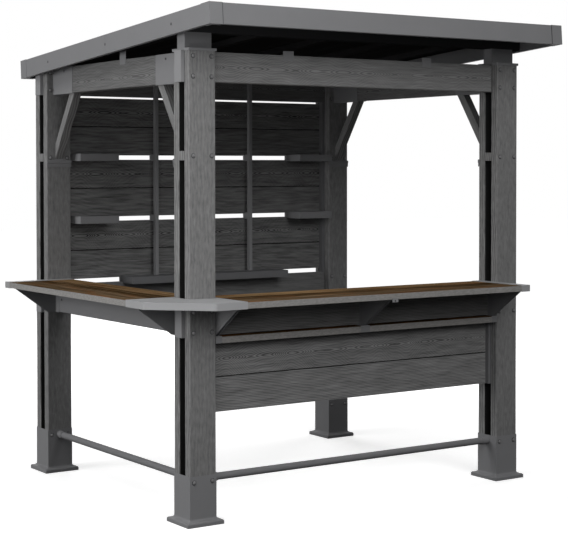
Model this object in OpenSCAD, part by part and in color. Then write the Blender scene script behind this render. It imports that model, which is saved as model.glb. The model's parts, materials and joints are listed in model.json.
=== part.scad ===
// Bar gazebo: four twin-board posts, a ring of beams with knee braces, an L-shaped
// bar counter, a slatted back wall with shelves and a single-pitch roof.
// X runs along the front, Y from front to back, Z up. Millimetres.

/* [Plan] */
// Spacing of the post centres along the front
span_x = 1916; // [1500:1:2600]
// Spacing of the post centres from front to back
span_y = 1510; // [1300:1:2400]

/* [Posts] */
// Width of a post board, seen from the front
post_w = 143.5; // [110:0.5:180]
// Thickness of one post board
board_t = 47; // [36:1:60]
// Open gap between the two boards of a post
board_gap = 49; // [48:1:60]
// Wall of the hollow boards and beams
tube_wall = 2; // [1.5:0.1:3]
// Corner radius of boards and beams
edge_r = 5; // [2:0.5:8]
// Height of the spacer block between the boards of a post
spacer_h = 44; // [30:1:60]
// How far the spacer block starts below the foot of a knee brace
spacer_drop = 14; // [0:1:30]

/* [Post bases] */
// Reach of the square base plate past the sleeve
base_reach = 26; // [14:1:50]
// Thickness of the plate under the boards
base_plate_t = 5; // [3:0.5:8]
// Height of the upright lip of the base
base_lip_h = 16; // [8:1:24]
// Height of the flared moulding
base_flare_h = 34; // [28:1:50]
// Height of the top of the base sleeve
sleeve_top = 234; // [180:1:300]
// Wall of the base sleeve
sleeve_wall = 1; // [0.8:0.1:4]

/* [Beams] */
// Height of the underside of the top beams
beam_z = 2080; // [1950:1:2300]
// Depth of the beams
beam_h = 144; // [110:1:180]
// Thickness of the front and back beams
beam_t = 46; // [36:1:46]
// Thickness of the side beams
side_beam_t = 64; // [46:1:80]
// How far the beam ends stand out past the posts
beam_end_out = 20; // [12:1:40]
// Width of the cap on a beam end
end_cap_w = 60; // [54:1:80]
// Wall of the pressed metal caps, hangers and clips
sheet_t = 2; // [1:0.1:3]
// Length of a hanger that holds an end of a top side beam
hanger_l = 235; // [200:1:300]
// Length of a hanger that holds an end of the side rail
rail_hanger_l = 64; // [40:1:120]
// Drop of the pointed tab below a hanger
hanger_tab = 18; // [8:1:30]

/* [Knee braces] */
// Height of the foot of the knee braces on the posts
brace_foot_z = 1726; // [1500:1:1850]
// Reach of the knee braces along the side beams
brace_reach = 233; // [150:1:233]
// Width of the square brace tube
brace_w = 44; // [30:1:60]
// Height of the ledge strip below a brace foot
ledge_h = 38; // [30:1:60]
// How far the ledge strip stands out from the post
ledge_out = 7; // [6:1:20]
// How far the ledge strip reaches past the post at each side
ledge_side = 1.5; // [0.5:0.5:8]
// Height of the seat on the ledge strip for the brace foot
brace_seat_h = 6; // [2:1:12]

/* [Counter] */
// Height of the metal trays on the counter
counter_z = 1065; // [950:1:1150]
// Thickness of the counter boards
counter_t = 29.5; // [24:0.5:45]
// How far the metal trays stand above the boards
tray_step = 2; // [1:0.5:4]
// Thickness of the sheet below the counter boards
underlay_t = 5; // [3:0.5:12]
// How far that sheet stays back from the outer edge
underlay_in = 40; // [38:1:60]
// Width of the counter
counter_w = 382; // [360:1:460]
// How far the inner edge of the counter lies inside the post centres
counter_in = 60; // [40:1:66]
// Depth of the rails in the front and the back
rail_h = 145; // [120:1:170]
// Depth of the rail at the left side
side_rail_h = 140; // [110:1:170]
// Length of the metal end trays
end_tray_l = 56; // [30:1:200]
// How far the corner and end trays wrap past the boards
tray_wrap = 2.5; // [1.5:0.5:4]
// Cut-off of the corner tray
corner_cut = 240; // [150:1:245]
// Radius of the rounded corners at the two ends of that cut
corner_round = 20; // [5:1:60]
// How far the corner tray reaches past the side of the post
corner_past_post = 15.25; // [8:0.25:80]
// Reach of the counter brackets
bracket_reach = 232; // [180:1:240]
// Thickness of the bracket plates
bracket_t = 3; // [2:0.5:5]
// Width of the brackets across their two webs
bracket_w = 20; // [10:1:50]
// Height of the nose of the brackets
bracket_nose = 6; // [6:1:20]
// Length of the level foot of the brackets
bracket_foot = 40; // [12:1:80]
// Width of the bottle opener
opener_w = 36; // [20:1:60]
// Height of the bottle opener
opener_h = 20; // [14:1:30]
// How far the bottle opener stands to the left of the middle
opener_left = 12; // [0:1:60]

/* [Front ledge and panel] */
// Thickness of the narrow ledge below the counter
ledge_board_t = 34; // [20:1:50]
// Height of the front panel
panel_h = 336; // [250:1:420]
// Thickness of the planked panels
panel_t = 12; // [8:1:13]
// How far the front face of the panels lies from the middle of the posts
front_panel_set = 0; // [-10:1:6]
// Width of the groove between two planks
groove_w = 5; // [3:1:8]
// Depth of the groove between two planks
groove_d = 3; // [2:0.5:4]
// Length of metal at the ends of the front ledge
ledge_end_l = 34; // [20:1:60]
// Length of the metal joint in the middle of the front ledge
ledge_mid_l = 56; // [30:1:80]

/* [Back wall] */
// Open slot below each planked band
wall_slot = 24.5; // [16:0.5:30]
// Open slot above the top band
wall_top_slot = 9.5; // [4:0.5:20]
// How far the front face of the bands lies behind the middle of the posts
wall_set = 10; // [0:1:10]
// Depth of the channels that hold the panel ends
channel_d = 15; // [10:1:25]
// Distance of the wall uprights from the middle
upright_x = 323; // [200:1:360]
// Width of a wall upright
upright_w = 20; // [15:1:30]
// Depth of a wall upright
upright_d = 26; // [20:1:50]
// Height of the clips that hold the uprights
upright_clip_h = 38; // [30:1:60]

/* [Shelves] */
// Depth of the shelves in front of the back wall
shelf_d = 150; // [100:1:180]
// Height of the shelf trays
shelf_h = 40; // [30:1:60]
// Height of the shelf tops above the bottom of their slots
shelf_rise = 32; // [30:1:40]
// Length of the four short shelves
short_shelf_l = 240; // [150:1:260]
// Distance of the short shelves from the posts
shelf_end = 26; // [20:1:60]
// Distance of the long shelf from the posts
long_shelf_end = 354; // [300:1:420]

/* [Foot rails] */
// Diameter of the foot rails
foot_rail_d = 35.5; // [25:0.5:45]
// How far the middle of the foot rails lies below the top of the base sleeves
foot_rail_drop = 28.5; // [26:0.5:60]
// Diameter of the collars on the foot rails
collar_d = 42; // [38:1:60]
// Length of the collars on the foot rails
collar_l = 45; // [20:1:60]

/* [Post caps] */
// How far a cap stands out past the post
cap_over = 4.5; // [3:0.5:8]
// Height of the top of a cap above the beam ends
cap_rise = 8.7; // [6:0.1:16]
// How far the rim of a cap reaches down beside the beams
cap_drop = 4; // [2:0.5:10]

/* [Roof] */
// Height of the stubs on the front posts
stub_h = 76; // [50:1:120]
// Height of the front roof rail at its middle
front_roof_rail_h = 68.5; // [55:0.5:90]
// Height of the back roof rail at its middle
back_roof_rail_h = 32; // [20:0.5:45]
// Reach of the roof in front of the front post centres
roof_front = 340; // [200:1:450]
// Reach of the roof behind the back post centres
roof_back = 138; // [100:1:250]
// Reach of the roof past the post centres at the sides
roof_side = 129; // [115:1:250]
// Height of the fascia
fascia_h = 97; // [80:1:130]
// Width of the top flange of the fascia
fascia_top = 42; // [25:1:60]
// Width of the bottom return of the fascia
fascia_return = 22; // [10:1:40]
// Length of the corner covers
corner_cover_l = 70; // [40:1:110]
// Depth of the roofing sheet below the top edge
sheet_depth = 12; // [8:1:24]
// Number of ribs in the roofing sheet
rib_count = 12; // [6:1:16]
// Number of rafters
rafter_count = 5; // [3:1:7]
// Width of a rafter
rafter_w = 40; // [30:1:60]
// Height of a rafter
rafter_h = 30; // [20:1:30]
// Depth of the roof rails and of the stubs below the front one
roof_rail_d = 68; // [50:1:90]

/* [Beam clips] */
// Width of the clips on the top edge of the beams
clip_w = 62; // [40:1:90]
// How far a clip laps down over the beam
clip_lap = 26; // [15:1:40]
// How far the clips on the front beam stand above it
front_clip_rise = 20; // [8:1:40]
// How far the clip on the left beam stands above it
left_clip_rise = 40; // [8:1:60]
// Distance of the front clips from the middle
front_clip_x = 437; // [200:1:600]
// Distance of the left clip from the front post centre
left_clip_y = 638; // [400:1:800]

/* [Hidden] */
$fn = 48;

// Clearance between parts that slide into each other
fit = 0.3;
post_d = 2 * board_t + board_gap;
half_w = post_w / 2;
corner_reach = half_w + corner_past_post;
half_d = post_d / 2;
right_x = span_x;
back_y = span_y;
// Beams and rails
beam_top = beam_z + beam_h;
boards_top = counter_z - tray_step;
boards_z = boards_top - counter_t;
rail_top = boards_z - underlay_t;
rail_z = rail_top - rail_h;
side_rail_z = rail_top - side_rail_h;
side_face = side_beam_t / 2 + sheet_t;
// Counter, ledge and panel
edging_t = 2;
counter_out = counter_w - counter_in;
underlay_back = counter_in - 10;
ledge_z = rail_z - ledge_board_t;
panel_z = ledge_z - panel_h;
// Bases
sleeve_w = post_w + 2 * sleeve_wall + 2 * fit;
sleeve_d = post_d + 2 * sleeve_wall + 2 * fit;
base_w = max(sleeve_w, sleeve_d) + 2 * base_reach;
foot_rail_z = sleeve_top - foot_rail_drop;
// Post caps
cap_t = 4;
cap_rim = 3;
cap_z = beam_top + sheet_t + fit;
cap_top = cap_z + cap_rise;
post_top = cap_top - cap_t;
// Roof: its frame rises from the back rail to the front rail
front_frame_z = cap_top + stub_h + front_roof_rail_h;
back_frame_z = cap_top + back_roof_rail_h;
roof_fall = atan((front_frame_z - back_frame_z) / span_y);
sheet_drop = sheet_depth + sheet_t;
roof_top_z = front_frame_z + sheet_drop / cos(roof_fall) + roof_front * tan(roof_fall);
roof_len = (roof_front + span_y + roof_back) / cos(roof_fall);
roof_w = span_x + 2 * roof_side;
rib_h = sheet_depth - sheet_t - fit;
cover_t = 1.5;
// Middle of the whole outline, which the origin lies under
box_x0 = -max(counter_out + edging_t, roof_side + cover_t);
box_x1 = span_x + max(roof_side + cover_t, half_w + beam_end_out);
box_y0 = -roof_front - (fascia_h + cover_t) * sin(roof_fall) - cover_t * cos(roof_fall);
box_y1 = span_y + roof_back + cover_t * cos(roof_fall) + cover_t * sin(roof_fall);
mid_x = (box_x0 + box_x1) / 2;
mid_y = (box_y0 + box_y1) / 2;

charcoal = [0.30, 0.30, 0.31];
smooth_grey = [0.36, 0.36, 0.38];
brown = [0.42, 0.30, 0.18];
light_grey = [0.60, 0.60, 0.62];

// Corner points of a rectangle with rounded corners
function round_rect(w, h, r, n = 4) = [
    for (c = [[1, 1, 0], [-1, 1, 90], [-1, -1, 180], [1, -1, 270]])
        for (i = [0 : n])
            [c[0] * (w / 2 - r) + r * cos(c[2] + 90 * i / n),
             c[1] * (h / 2 - r) + r * sin(c[2] + 90 * i / n)]
];

// Section of a hollow board, w by h, centred
module board_section(w, h) {
    difference() {
        polygon(round_rect(w, h, edge_r));
        square([w - 2 * tube_wall, h - 2 * tube_wall], center = true);
    }
}

// Hollow beam along X from x0 to x1, with its underside at z
module beam_x(x0, x1, z, t, h) {
    translate([x0, 0, z + h / 2]) rotate([90, 0, 90])
        linear_extrude(x1 - x0) board_section(t, h);
}

// Hollow beam along Y from y0 to y1, with its underside at z
module beam_y(y0, y1, z, t, h) {
    translate([0, y1, z + h / 2]) rotate([90, 0, 0])
        linear_extrude(y1 - y0) board_section(t, h);
}

// Prism along X, centred on x = 0, from points in the Y Z plane
module yz_prism(points, w) {
    translate([-w / 2, 0, 0]) rotate([90, 0, 90]) linear_extrude(w) polygon(points);
}

// Prism along Y, centred on y = 0, from points in the X Z plane
module xz_prism(points, w) {
    translate([0, w / 2, 0]) rotate([90, 0, 0]) linear_extrude(w) polygon(points);
}

module whole() {
    translate([-mid_x, -mid_y, 0]) children();
}

// Post: two hollow boards, front and back, with a block between them
module post(x, y) {
    color(charcoal) whole() translate([x, y, 0]) {
        for (s = [-1, 1])
            translate([0, s * (board_gap + board_t) / 2, base_plate_t])
                linear_extrude(post_top - base_plate_t) board_section(post_w, board_t);
        translate([-half_w, -board_gap / 2, brace_foot_z - spacer_drop])
            cube([post_w, board_gap, spacer_h]);
    }
}

// Half section of the base: upright lip, bevel, hollow flare and sleeve
flare_z = base_lip_h + 5;
flare_step = 15;
function flare(half, w) = [
    for (a = [0 : flare_step : 90])
        [half + (w - half) * (1 - sin(a)), flare_z + (base_flare_h - base_lip_h - 5) * (1 - cos(a))]
];

base_bevel = 4;
function base_outline(half) = concat(
    [[0, 0], [base_w / 2, 0], [base_w / 2, base_lip_h]],
    flare(half, base_w / 2 - base_bevel),
    [[half, sleeve_top], [0, sleeve_top]]
);

// Mitred moulding: the same outline drawn along both directions and intersected
module base(x, y) {
    color(smooth_grey) whole() translate([x, y, 0]) difference() {
        intersection() {
            union() {
                xz_prism(base_outline(sleeve_w / 2), base_w);
                mirror([1, 0, 0]) xz_prism(base_outline(sleeve_w / 2), base_w);
            }
            union() {
                yz_prism(base_outline(sleeve_d / 2), base_w);
                mirror([0, 1, 0]) yz_prism(base_outline(sleeve_d / 2), base_w);
            }
        }
        translate([-half_w - fit, -half_d - fit, base_plate_t])
            cube([post_w + 2 * fit, post_d + 2 * fit, sleeve_top]);
    }
}

module through_beam(y, z, h) {
    color(charcoal) whole() translate([0, y, 0])
        beam_x(-half_w - beam_end_out + sheet_t, right_x + half_w + beam_end_out - sheet_t, z, beam_t, h);
}

// Cup over the end of a through beam, open towards +X, with a lid of thickness lid
module end_cap(h, lid) {
    difference() {
        translate([0, -end_cap_w / 2, -sheet_t]) cube([beam_end_out, end_cap_w, h + sheet_t + lid]);
        translate([sheet_t, -beam_t / 2 - fit, -fit]) cube([beam_end_out, beam_t + 2 * fit, h + 2 * fit]);
    }
}

module beam_end_caps() {
    color(smooth_grey) whole() for (y = [0, back_y], a = [[beam_z, beam_h, sheet_t], [rail_z, rail_h, 0]]) {
        translate([-half_w - beam_end_out, y, a[0]]) end_cap(a[1], a[2]);
        translate([right_x + half_w + beam_end_out, y, a[0]]) mirror([1, 0, 0]) end_cap(a[1], a[2]);
    }
}

module side_beam(x, z, h) {
    gap = sheet_t + fit;
    color(charcoal) whole() translate([x, 0, 0])
        beam_y(half_d + gap, back_y - half_d - gap, z, side_beam_t, h);
}

// Open-topped hanger on the back face of a post: back plate with a pointed tab and a trough
module hanger(l, z, h, tab) {
    w = side_beam_t + 2 * fit;
    rotate([90, 0, 0]) mirror([0, 0, 1]) linear_extrude(sheet_t) polygon([
        [-side_face, z + h], [-side_face, z - sheet_t - fit], [0, z - sheet_t - fit - tab],
        [side_face, z - sheet_t - fit], [side_face, z + h]]);
    difference() {
        translate([-side_face, 0, z - sheet_t - fit])
            cube([2 * side_face, l, h + sheet_t]);
        translate([-w / 2, sheet_t, z - fit])
            cube([w, l, h + sheet_t]);
    }
}

module hanger_pair(l, z, h, tab) {
    translate([0, half_d, 0]) hanger(l, z, h, tab);
    translate([0, back_y - half_d, 0]) mirror([0, 1, 0]) hanger(l, z, h, tab);
}

module beam_hangers() {
    color(smooth_grey) whole() {
        for (x = [0, right_x]) translate([x, 0, 0]) hanger_pair(hanger_l, beam_z, beam_h, hanger_tab);
        hanger_pair(rail_hanger_l, side_rail_z, side_rail_h, 0);
    }
}

// Knee brace from a post face at y = 0 up to the underside of a hanger
brace_head_z = beam_z - sheet_t - fit;
brace_angle = atan(brace_reach / (brace_head_z - brace_foot_z));
brace_plumb = brace_w / sin(brace_angle);
brace_level = brace_w / cos(brace_angle);
module brace() {
    wall = tube_wall;
    up = wall / sin(brace_angle);
    along = wall / cos(brace_angle);
    rise = brace_head_z - brace_foot_z;
    difference() {
        yz_prism([[0, brace_foot_z], [brace_reach, brace_head_z],
                  [brace_reach - brace_level, brace_head_z], [0, brace_foot_z + brace_plumb]], brace_w);
        yz_prism([[-brace_reach, brace_foot_z + up - rise], [2 * brace_reach, brace_head_z + up + rise],
                  [2 * brace_reach - brace_level + 2 * along, brace_head_z + up + rise],
                  [-brace_reach, brace_foot_z + brace_plumb - up - rise]], brace_w - 2 * wall);
    }
}

module braces(x) {
    color(charcoal) whole() translate([x, 0, 0]) {
        translate([0, half_d, 0]) brace();
        translate([0, back_y - half_d, 0]) mirror([0, 1, 0]) brace();
    }
}

// Ledge strip below a brace foot: lipped, over the post's width, with a seat for the foot
module ledge_strip() {
    round = 3;
    seat = brace_foot_z - fit;
    top = seat - brace_seat_h;
    lip = top - ledge_h / 2;
    back = ledge_out - round;
    yz_prism([[0, top - ledge_h], [back, top - ledge_h], [back, lip], [ledge_out, lip + round],
              [ledge_out, top - round], [back, top], [0, top]], post_w + 2 * ledge_side);
    yz_prism([[0, top], [back, top], [back, seat], [0, seat]], brace_w);
}

module brace_ledges() {
    color(smooth_grey) whole() for (x = [0, right_x]) translate([x, 0, 0]) {
        translate([0, half_d, 0]) ledge_strip();
        translate([0, back_y - half_d, 0]) mirror([0, 1, 0]) ledge_strip();
    }
}

// Counter top of length l along X: boards on a narrower sheet that lies on the rails
module counter_top(l) {
    translate([0, -counter_out, boards_z]) cube([l, counter_w, counter_t]);
    translate([0, underlay_in - counter_out, rail_top])
        cube([l, counter_out - underlay_in + underlay_back, underlay_t]);
}

front_counter_l = right_x - half_w - end_tray_l - corner_reach;
left_counter_l = back_y - half_d - end_tray_l - corner_reach;
module front_counter() {
    color(brown) whole() translate([corner_reach, 0, 0]) counter_top(front_counter_l);
}

module left_counter() {
    color(brown) whole() translate([0, corner_reach, 0]) mirror([1, 0, 0]) rotate([0, 0, 90])
        counter_top(left_counter_l);
}

// Grey edging strips along the long edges of the counter boards
module counter_edging() {
    color(light_grey) whole() {
        for (y = [-counter_out - edging_t, counter_in])
            translate([corner_reach, y, boards_z]) cube([front_counter_l, edging_t, counter_t - 1]);
        for (x = [-counter_out - edging_t, counter_in])
            translate([x, corner_reach, boards_z]) cube([edging_t, left_counter_l, counter_t - 1]);
    }
}

// Outline of the corner tray with its outer corner cut off and the cut's ends rounded
function corner_outline(outer, inner) =
    let (r = corner_round, turn = 45, step = 9, c = corner_cut - counter_out + r * tan(turn / 2)) concat(
        [for (a = [180 : step : 180 + turn]) [r - outer + r * cos(a), c + r * sin(a)]],
        [for (a = [180 + turn : step : 270]) [c + r * cos(a), r - outer + r * sin(a)]],
        [[corner_reach, -outer], [corner_reach, inner], [inner, corner_reach], [-outer, corner_reach]]);

tray_z = boards_z - tray_wrap;
module corner_tray() {
    color(light_grey) whole() difference() {
        union() {
            translate([0, 0, tray_z]) linear_extrude(counter_z - tray_z)
                polygon(corner_outline(counter_out + edging_t, counter_in + edging_t));
            translate([0, 0, rail_top]) linear_extrude(underlay_t)
                polygon(corner_outline(counter_out - underlay_in, underlay_back));
        }
        translate([-half_w - fit, -half_d - fit, rail_top - 1])
            cube([post_w + 2 * fit, post_d + 2 * fit, counter_z]);
    }
}

// End tray: a slab that stands proud of the boards on top and at the edges
module end_tray() {
    translate([-counter_out - edging_t, 0, tray_z])
        cube([counter_w + 2 * edging_t, end_tray_l, counter_z - tray_z]);
    translate([underlay_in - counter_out, 0, rail_top])
        cube([counter_out - underlay_in + underlay_back, end_tray_l, underlay_t]);
}

module end_trays() {
    color(light_grey) whole() {
        translate([0, back_y - half_d - end_tray_l, 0]) end_tray();
        translate([right_x - half_w, 0, 0]) rotate([0, 0, 90]) end_tray();
    }
}

// Bracket reaching towards -Y: a folded sheet with two webs, open along its slanted edge
bracket_gap = 1;
bracket_drop = rail_h - 2 * bracket_gap;
module counter_bracket() {
    nose_z = rail_top - bracket_nose;
    foot_z = rail_top - bracket_drop;
    for (x = [bracket_t / 2, bracket_w - bracket_t / 2])
        translate([x, 0, 0])
            yz_prism([[0, rail_top], [-bracket_reach, rail_top], [-bracket_reach, nose_z],
                      [-bracket_foot, foot_z], [0, foot_z]], bracket_t);
    translate([0, -bracket_reach, rail_top - bracket_t])
        cube([bracket_w, bracket_reach, bracket_t]);
    translate([0, -bracket_t, foot_z])
        cube([bracket_w, bracket_t, bracket_drop]);
}

// The brackets at the posts stand next to them
module counter_brackets() {
    color(smooth_grey) whole() {
        translate([0, -beam_t / 2, 0]) {
            for (x = [half_w + bracket_gap, right_x / 2]) translate([x, 0, 0]) counter_bracket();
            translate([right_x - half_w - bracket_gap, 0, 0]) mirror([1, 0, 0]) counter_bracket();
        }
        translate([-side_face, 0, 0]) rotate([0, 0, -90]) {
            translate([-half_d - bracket_gap, 0, 0]) mirror([1, 0, 0]) counter_bracket();
            translate([half_d + bracket_gap - back_y, 0, 0]) counter_bracket();
        }
    }
}

// Bottle opener: a plate bent round the lower front edge, with a hole for the cap
module bottle_opener() {
    lap = 6;
    hole_d = 8;
    face = -counter_out - edging_t;
    front = face - bracket_t;
    back = underlay_in - counter_out - 2;
    under = boards_z - bracket_t;
    foot_z = boards_z + lap - opener_h;
    color(light_grey) whole() translate([right_x / 2 - opener_left, 0, 0]) difference() {
        yz_prism([[front, foot_z], [face, foot_z], [face, under], [back, under], [back, boards_z],
                  [face, boards_z], [face, boards_z + lap], [front, boards_z + lap]], opener_w);
        translate([0, face + 1, foot_z + hole_d / 2 + 2]) rotate([90, 0, 0])
            cylinder(d = hole_d, h = bracket_t + 2);
    }
}

// Narrow ledge in front of the front panel, in two boards
ledge_y1 = board_gap / 2 - 1;
module front_ledge() {
    x0 = half_w + ledge_end_l;
    x1 = right_x / 2 - ledge_mid_l / 2;
    color(brown) whole() for (x = [x0, right_x - x1])
        translate([x, -half_d, ledge_z]) cube([x1 - x0, half_d + ledge_y1, ledge_board_t]);
}

module ledge_metalwork() {
    color(smooth_grey) whole() for (p = [[half_w, ledge_end_l], [(right_x - ledge_mid_l) / 2, ledge_mid_l],
                                         [right_x - half_w - ledge_end_l, ledge_end_l]])
        translate([p[0], -half_d - 1, ledge_z]) cube([p[1], half_d + 1 + ledge_y1, ledge_board_t]);
}

// Two planks with a groove between them on both faces, their front face at y = 0
module planks(x0, x1, z, h) {
    mid = panel_t / 2;
    translate([0, mid, 0]) difference() {
        translate([x0, -mid, z]) cube([x1 - x0, panel_t, h]);
        for (s = [-1, 1]) translate([x0 - 1, s * mid, z + h / 2])
            rotate([0, 90, 0]) linear_extrude(x1 - x0 + 2)
                polygon([[-groove_w / 2, s], [groove_w / 2, s], [0, -s * groove_d]]);
    }
}

panel_x0 = half_w + sheet_t + fit;
panel_x1 = right_x - half_w - sheet_t - fit;
wall_y = back_y + wall_set;
band_h = (beam_z - wall_top_slot - rail_top - 3 * wall_slot) / 3;
function band_z(i) = rail_top + wall_slot + i * (band_h + wall_slot);

module front_panel() {
    color(charcoal) whole() translate([0, front_panel_set, 0])
        planks(panel_x0, panel_x1, panel_z, panel_h);
}

module back_wall() {
    color(charcoal) whole() translate([0, wall_y, 0])
        for (i = [0 : 2]) planks(panel_x0, panel_x1, band_z(i), band_h);
}

// Channel on the inner face of a post, open towards +X: it slips into the gap between
// the boards and holds the end of a panel whose front face lies at y = set
module channel(z0, z1, set) {
    half = board_gap / 2 - fit;
    tongue = 20;
    mouth0 = set - fit;
    mouth1 = set + panel_t + fit;
    cell = half - sheet_t;
    translate([0, 0, z0]) linear_extrude(z1 - z0) difference() {
        translate([-tongue, -half]) square([tongue + channel_d, 2 * half]);
        translate([-tongue - 1, -cell]) square([tongue + 1, 2 * cell]);
        translate([sheet_t, mouth0]) square([channel_d, mouth1 - mouth0]);
        translate([sheet_t, -cell]) square([channel_d - 2 * sheet_t, mouth0 - sheet_t + cell]);
    }
}

module channel_pair(y, z0, z1, set) {
    translate([half_w, y, 0]) channel(z0, z1, set);
    translate([right_x - half_w, y, 0]) mirror([1, 0, 0]) channel(z0, z1, set);
}

// The channels of the back wall are cut out round the spacer blocks of the posts
module panel_channels() {
    color(smooth_grey) whole() {
        channel_pair(0, panel_z, ledge_z, front_panel_set);
        difference() {
            channel_pair(back_y, rail_top, beam_z, wall_set);
            for (x = [0, right_x])
                translate([x - half_w - fit, back_y - board_gap / 2, brace_foot_z - spacer_drop - fit])
                    cube([post_w + 2 * fit, board_gap, spacer_h + 2 * fit]);
        }
    }
}

// Upright in front of the back wall with clips through the open slots
upright_y = back_y - beam_t / 2 - fit;
module upright(x) {
    z0 = shelf_top(0) + fit;
    translate([x - upright_w / 2, upright_y - upright_d, z0])
        cube([upright_w, upright_d, beam_top - 10 - z0]);
    for (i = [1, 2]) {
        translate([x - upright_w / 2, upright_y, band_z(i) - (wall_slot + upright_clip_h) / 2])
            cube([upright_w, wall_y - upright_y, upright_clip_h]);
        translate([x - upright_w / 2, upright_y, band_z(i) - wall_slot + fit])
            cube([upright_w, wall_y + panel_t - upright_y, wall_slot - 2 * fit]);
    }
}

module wall_uprights() {
    color(smooth_grey) whole() for (s = [-1, 1]) upright(right_x / 2 + s * upright_x);
}

// Top of the shelves in slot i
function shelf_top(i) = band_z(i) - wall_slot + shelf_rise;

// Shelf tray with an open underside and a tongue through the slot behind it
module shelf(x0, x1, i) {
    front = wall_y - shelf_d;
    top = shelf_top(i);
    wall = 2;
    difference() {
        translate([x0, front, top - shelf_h]) cube([x1 - x0, shelf_d, shelf_h]);
        translate([x0 + wall, front + wall, top - shelf_h - 1])
            cube([x1 - x0 - 2 * wall, shelf_d - 2 * wall, shelf_h - wall + 1]);
        translate([x0 - 1, back_y - beam_t / 2 - fit, rail_top - shelf_h])
            cube([x1 - x0 + 2, shelf_d, shelf_h]);
    }
    translate([x0, wall_y, band_z(i) - wall_slot + fit])
        cube([x1 - x0, panel_t + 4, wall_slot - 2 * fit]);
}

module short_shelves() {
    color(smooth_grey) whole() for (i = [1, 2]) {
        a = half_w + shelf_end;
        shelf(a, a + short_shelf_l, i);
        shelf(right_x - a - short_shelf_l, right_x - a, i);
    }
}

module long_shelf() {
    a = half_w + long_shelf_end;
    color(smooth_grey) whole() shelf(a, right_x - a, 0);
}

// Round foot rail with a collar at each end, along X from 0 to l
module foot_rail(l) {
    rotate([0, 90, 0]) difference() {
        union() {
            cylinder(d = foot_rail_d, h = l);
            cylinder(d = collar_d, h = collar_l);
            translate([0, 0, l - collar_l]) cylinder(d = collar_d, h = collar_l);
        }
        translate([0, 0, -1]) cylinder(d = foot_rail_d - 2 * tube_wall, h = l + 2);
    }
}

module front_foot_rail() {
    color(smooth_grey) whole() translate([sleeve_w / 2, 0, foot_rail_z]) foot_rail(right_x - sleeve_w);
}

module left_foot_rail() {
    color(smooth_grey) whole() translate([0, sleeve_d / 2, foot_rail_z]) rotate([0, 0, 90])
        foot_rail(back_y - sleeve_d);
}

// Cap on a post whose side beam leaves towards +Y, its rim notched over the beams
module post_cap() {
    w = post_w + 2 * cap_over;
    d = post_d + 2 * cap_over;
    notch = cap_drop + 1;
    translate([0, 0, cap_z - cap_drop]) difference() {
        translate([-w / 2, -d / 2, 0]) cube([w, d, cap_drop + cap_rise]);
        translate([-w / 2 + cap_rim, -d / 2 + cap_rim, -1])
            cube([w - 2 * cap_rim, d - 2 * cap_rim, post_top - cap_z + cap_drop + 1]);
        translate([-w, -end_cap_w / 2 - fit, -1]) cube([2 * w, end_cap_w + 2 * fit, notch]);
        translate([-side_face - fit, 0, -1]) cube([2 * side_face + 2 * fit, d, notch]);
    }
}

module roof_stub() {
    wall = 3;
    translate([0, 0, cap_top]) linear_extrude(stub_h) difference() {
        square([post_w + 2 * ledge_side, roof_rail_d], center = true);
        square([post_w + 2 * ledge_side - 2 * wall, roof_rail_d - 2 * wall], center = true);
    }
}

module post_caps() {
    color(smooth_grey) whole() for (x = [0, right_x]) translate([x, 0, 0]) {
        post_cap();
        roof_stub();
        translate([0, back_y, 0]) mirror([0, 1, 0]) post_cap();
    }
}

// Roof frame: turns flat work so that it falls towards the back
module pitched() {
    translate([0, -roof_front, roof_top_z]) rotate([-roof_fall, 0, 0]) children();
}

// Height of the top of the roof frame, where the sheet lies, above a point y
function frame_z(y) = front_frame_z - y * tan(roof_fall);

roof_rail_x0 = sheet_t + fit - roof_side;
roof_rail_l = span_x - 2 * roof_rail_x0;
module roof_rails() {
    h = roof_rail_d / 2;
    color(smooth_grey) whole() translate([span_x / 2, 0, 0])
        for (r = [[0, cap_top + stub_h], [back_y, cap_top]])
            yz_prism([[r[0] - h, r[1]], [r[0] + h, r[1]],
                      [r[0] + h, frame_z(r[0] + h)], [r[0] - h, frame_z(r[0] - h)]], roof_rail_l);
}

// Rafters below the sheet, cut where they meet the two roof rails
module rafters() {
    first = half_w + cap_over + rafter_w / 2 + 5;
    step = (span_x - 2 * first) / (rafter_count - 1);
    l = roof_len - 2 * fit - 2 * sheet_t;
    color(smooth_grey) whole() difference() {
        pitched() for (i = [0 : rafter_count - 1])
            translate([first + i * step, l + fit + sheet_t, -sheet_drop - rafter_h / 2])
                rotate([90, 0, 0]) linear_extrude(l) difference() {
                    square([rafter_w, rafter_h], center = true);
                    square([rafter_w - 2 * tube_wall, rafter_h - 2 * tube_wall], center = true);
                }
        for (y = [0, back_y]) translate([roof_rail_x0, y - roof_rail_d / 2, cap_top - rafter_h])
            cube([roof_rail_l, roof_rail_d, roof_top_z]);
    }
}

// Ribbed roofing sheet, its ribs running down the slope
sheet_w = roof_w - 2 * sheet_t - 2 * fit;
rib_pitch = sheet_w / rib_count;
rib_foot = 0.19;
rib_head = 0.1;
function rib_line(z) = concat(
    [[0, z]],
    [for (i = [0 : rib_count - 1])
        for (p = [[-rib_foot, 0], [-rib_head, 1], [rib_head, 1], [rib_foot, 0]])
            [(i + 0.5 + p[0]) * rib_pitch, z + p[1] * rib_h]],
    [[sheet_w, z]]
);
function reverse(a) = [for (i = [len(a) - 1 : -1 : 0]) a[i]];

module roofing() {
    color(charcoal) whole() pitched()
        translate([-roof_side + sheet_t + fit, roof_len - sheet_t - fit, -sheet_drop])
            rotate([90, 0, 0]) linear_extrude(roof_len - 2 * sheet_t - 2 * fit)
                polygon(concat(rib_line(0), reverse(rib_line(sheet_t))));
}

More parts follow.
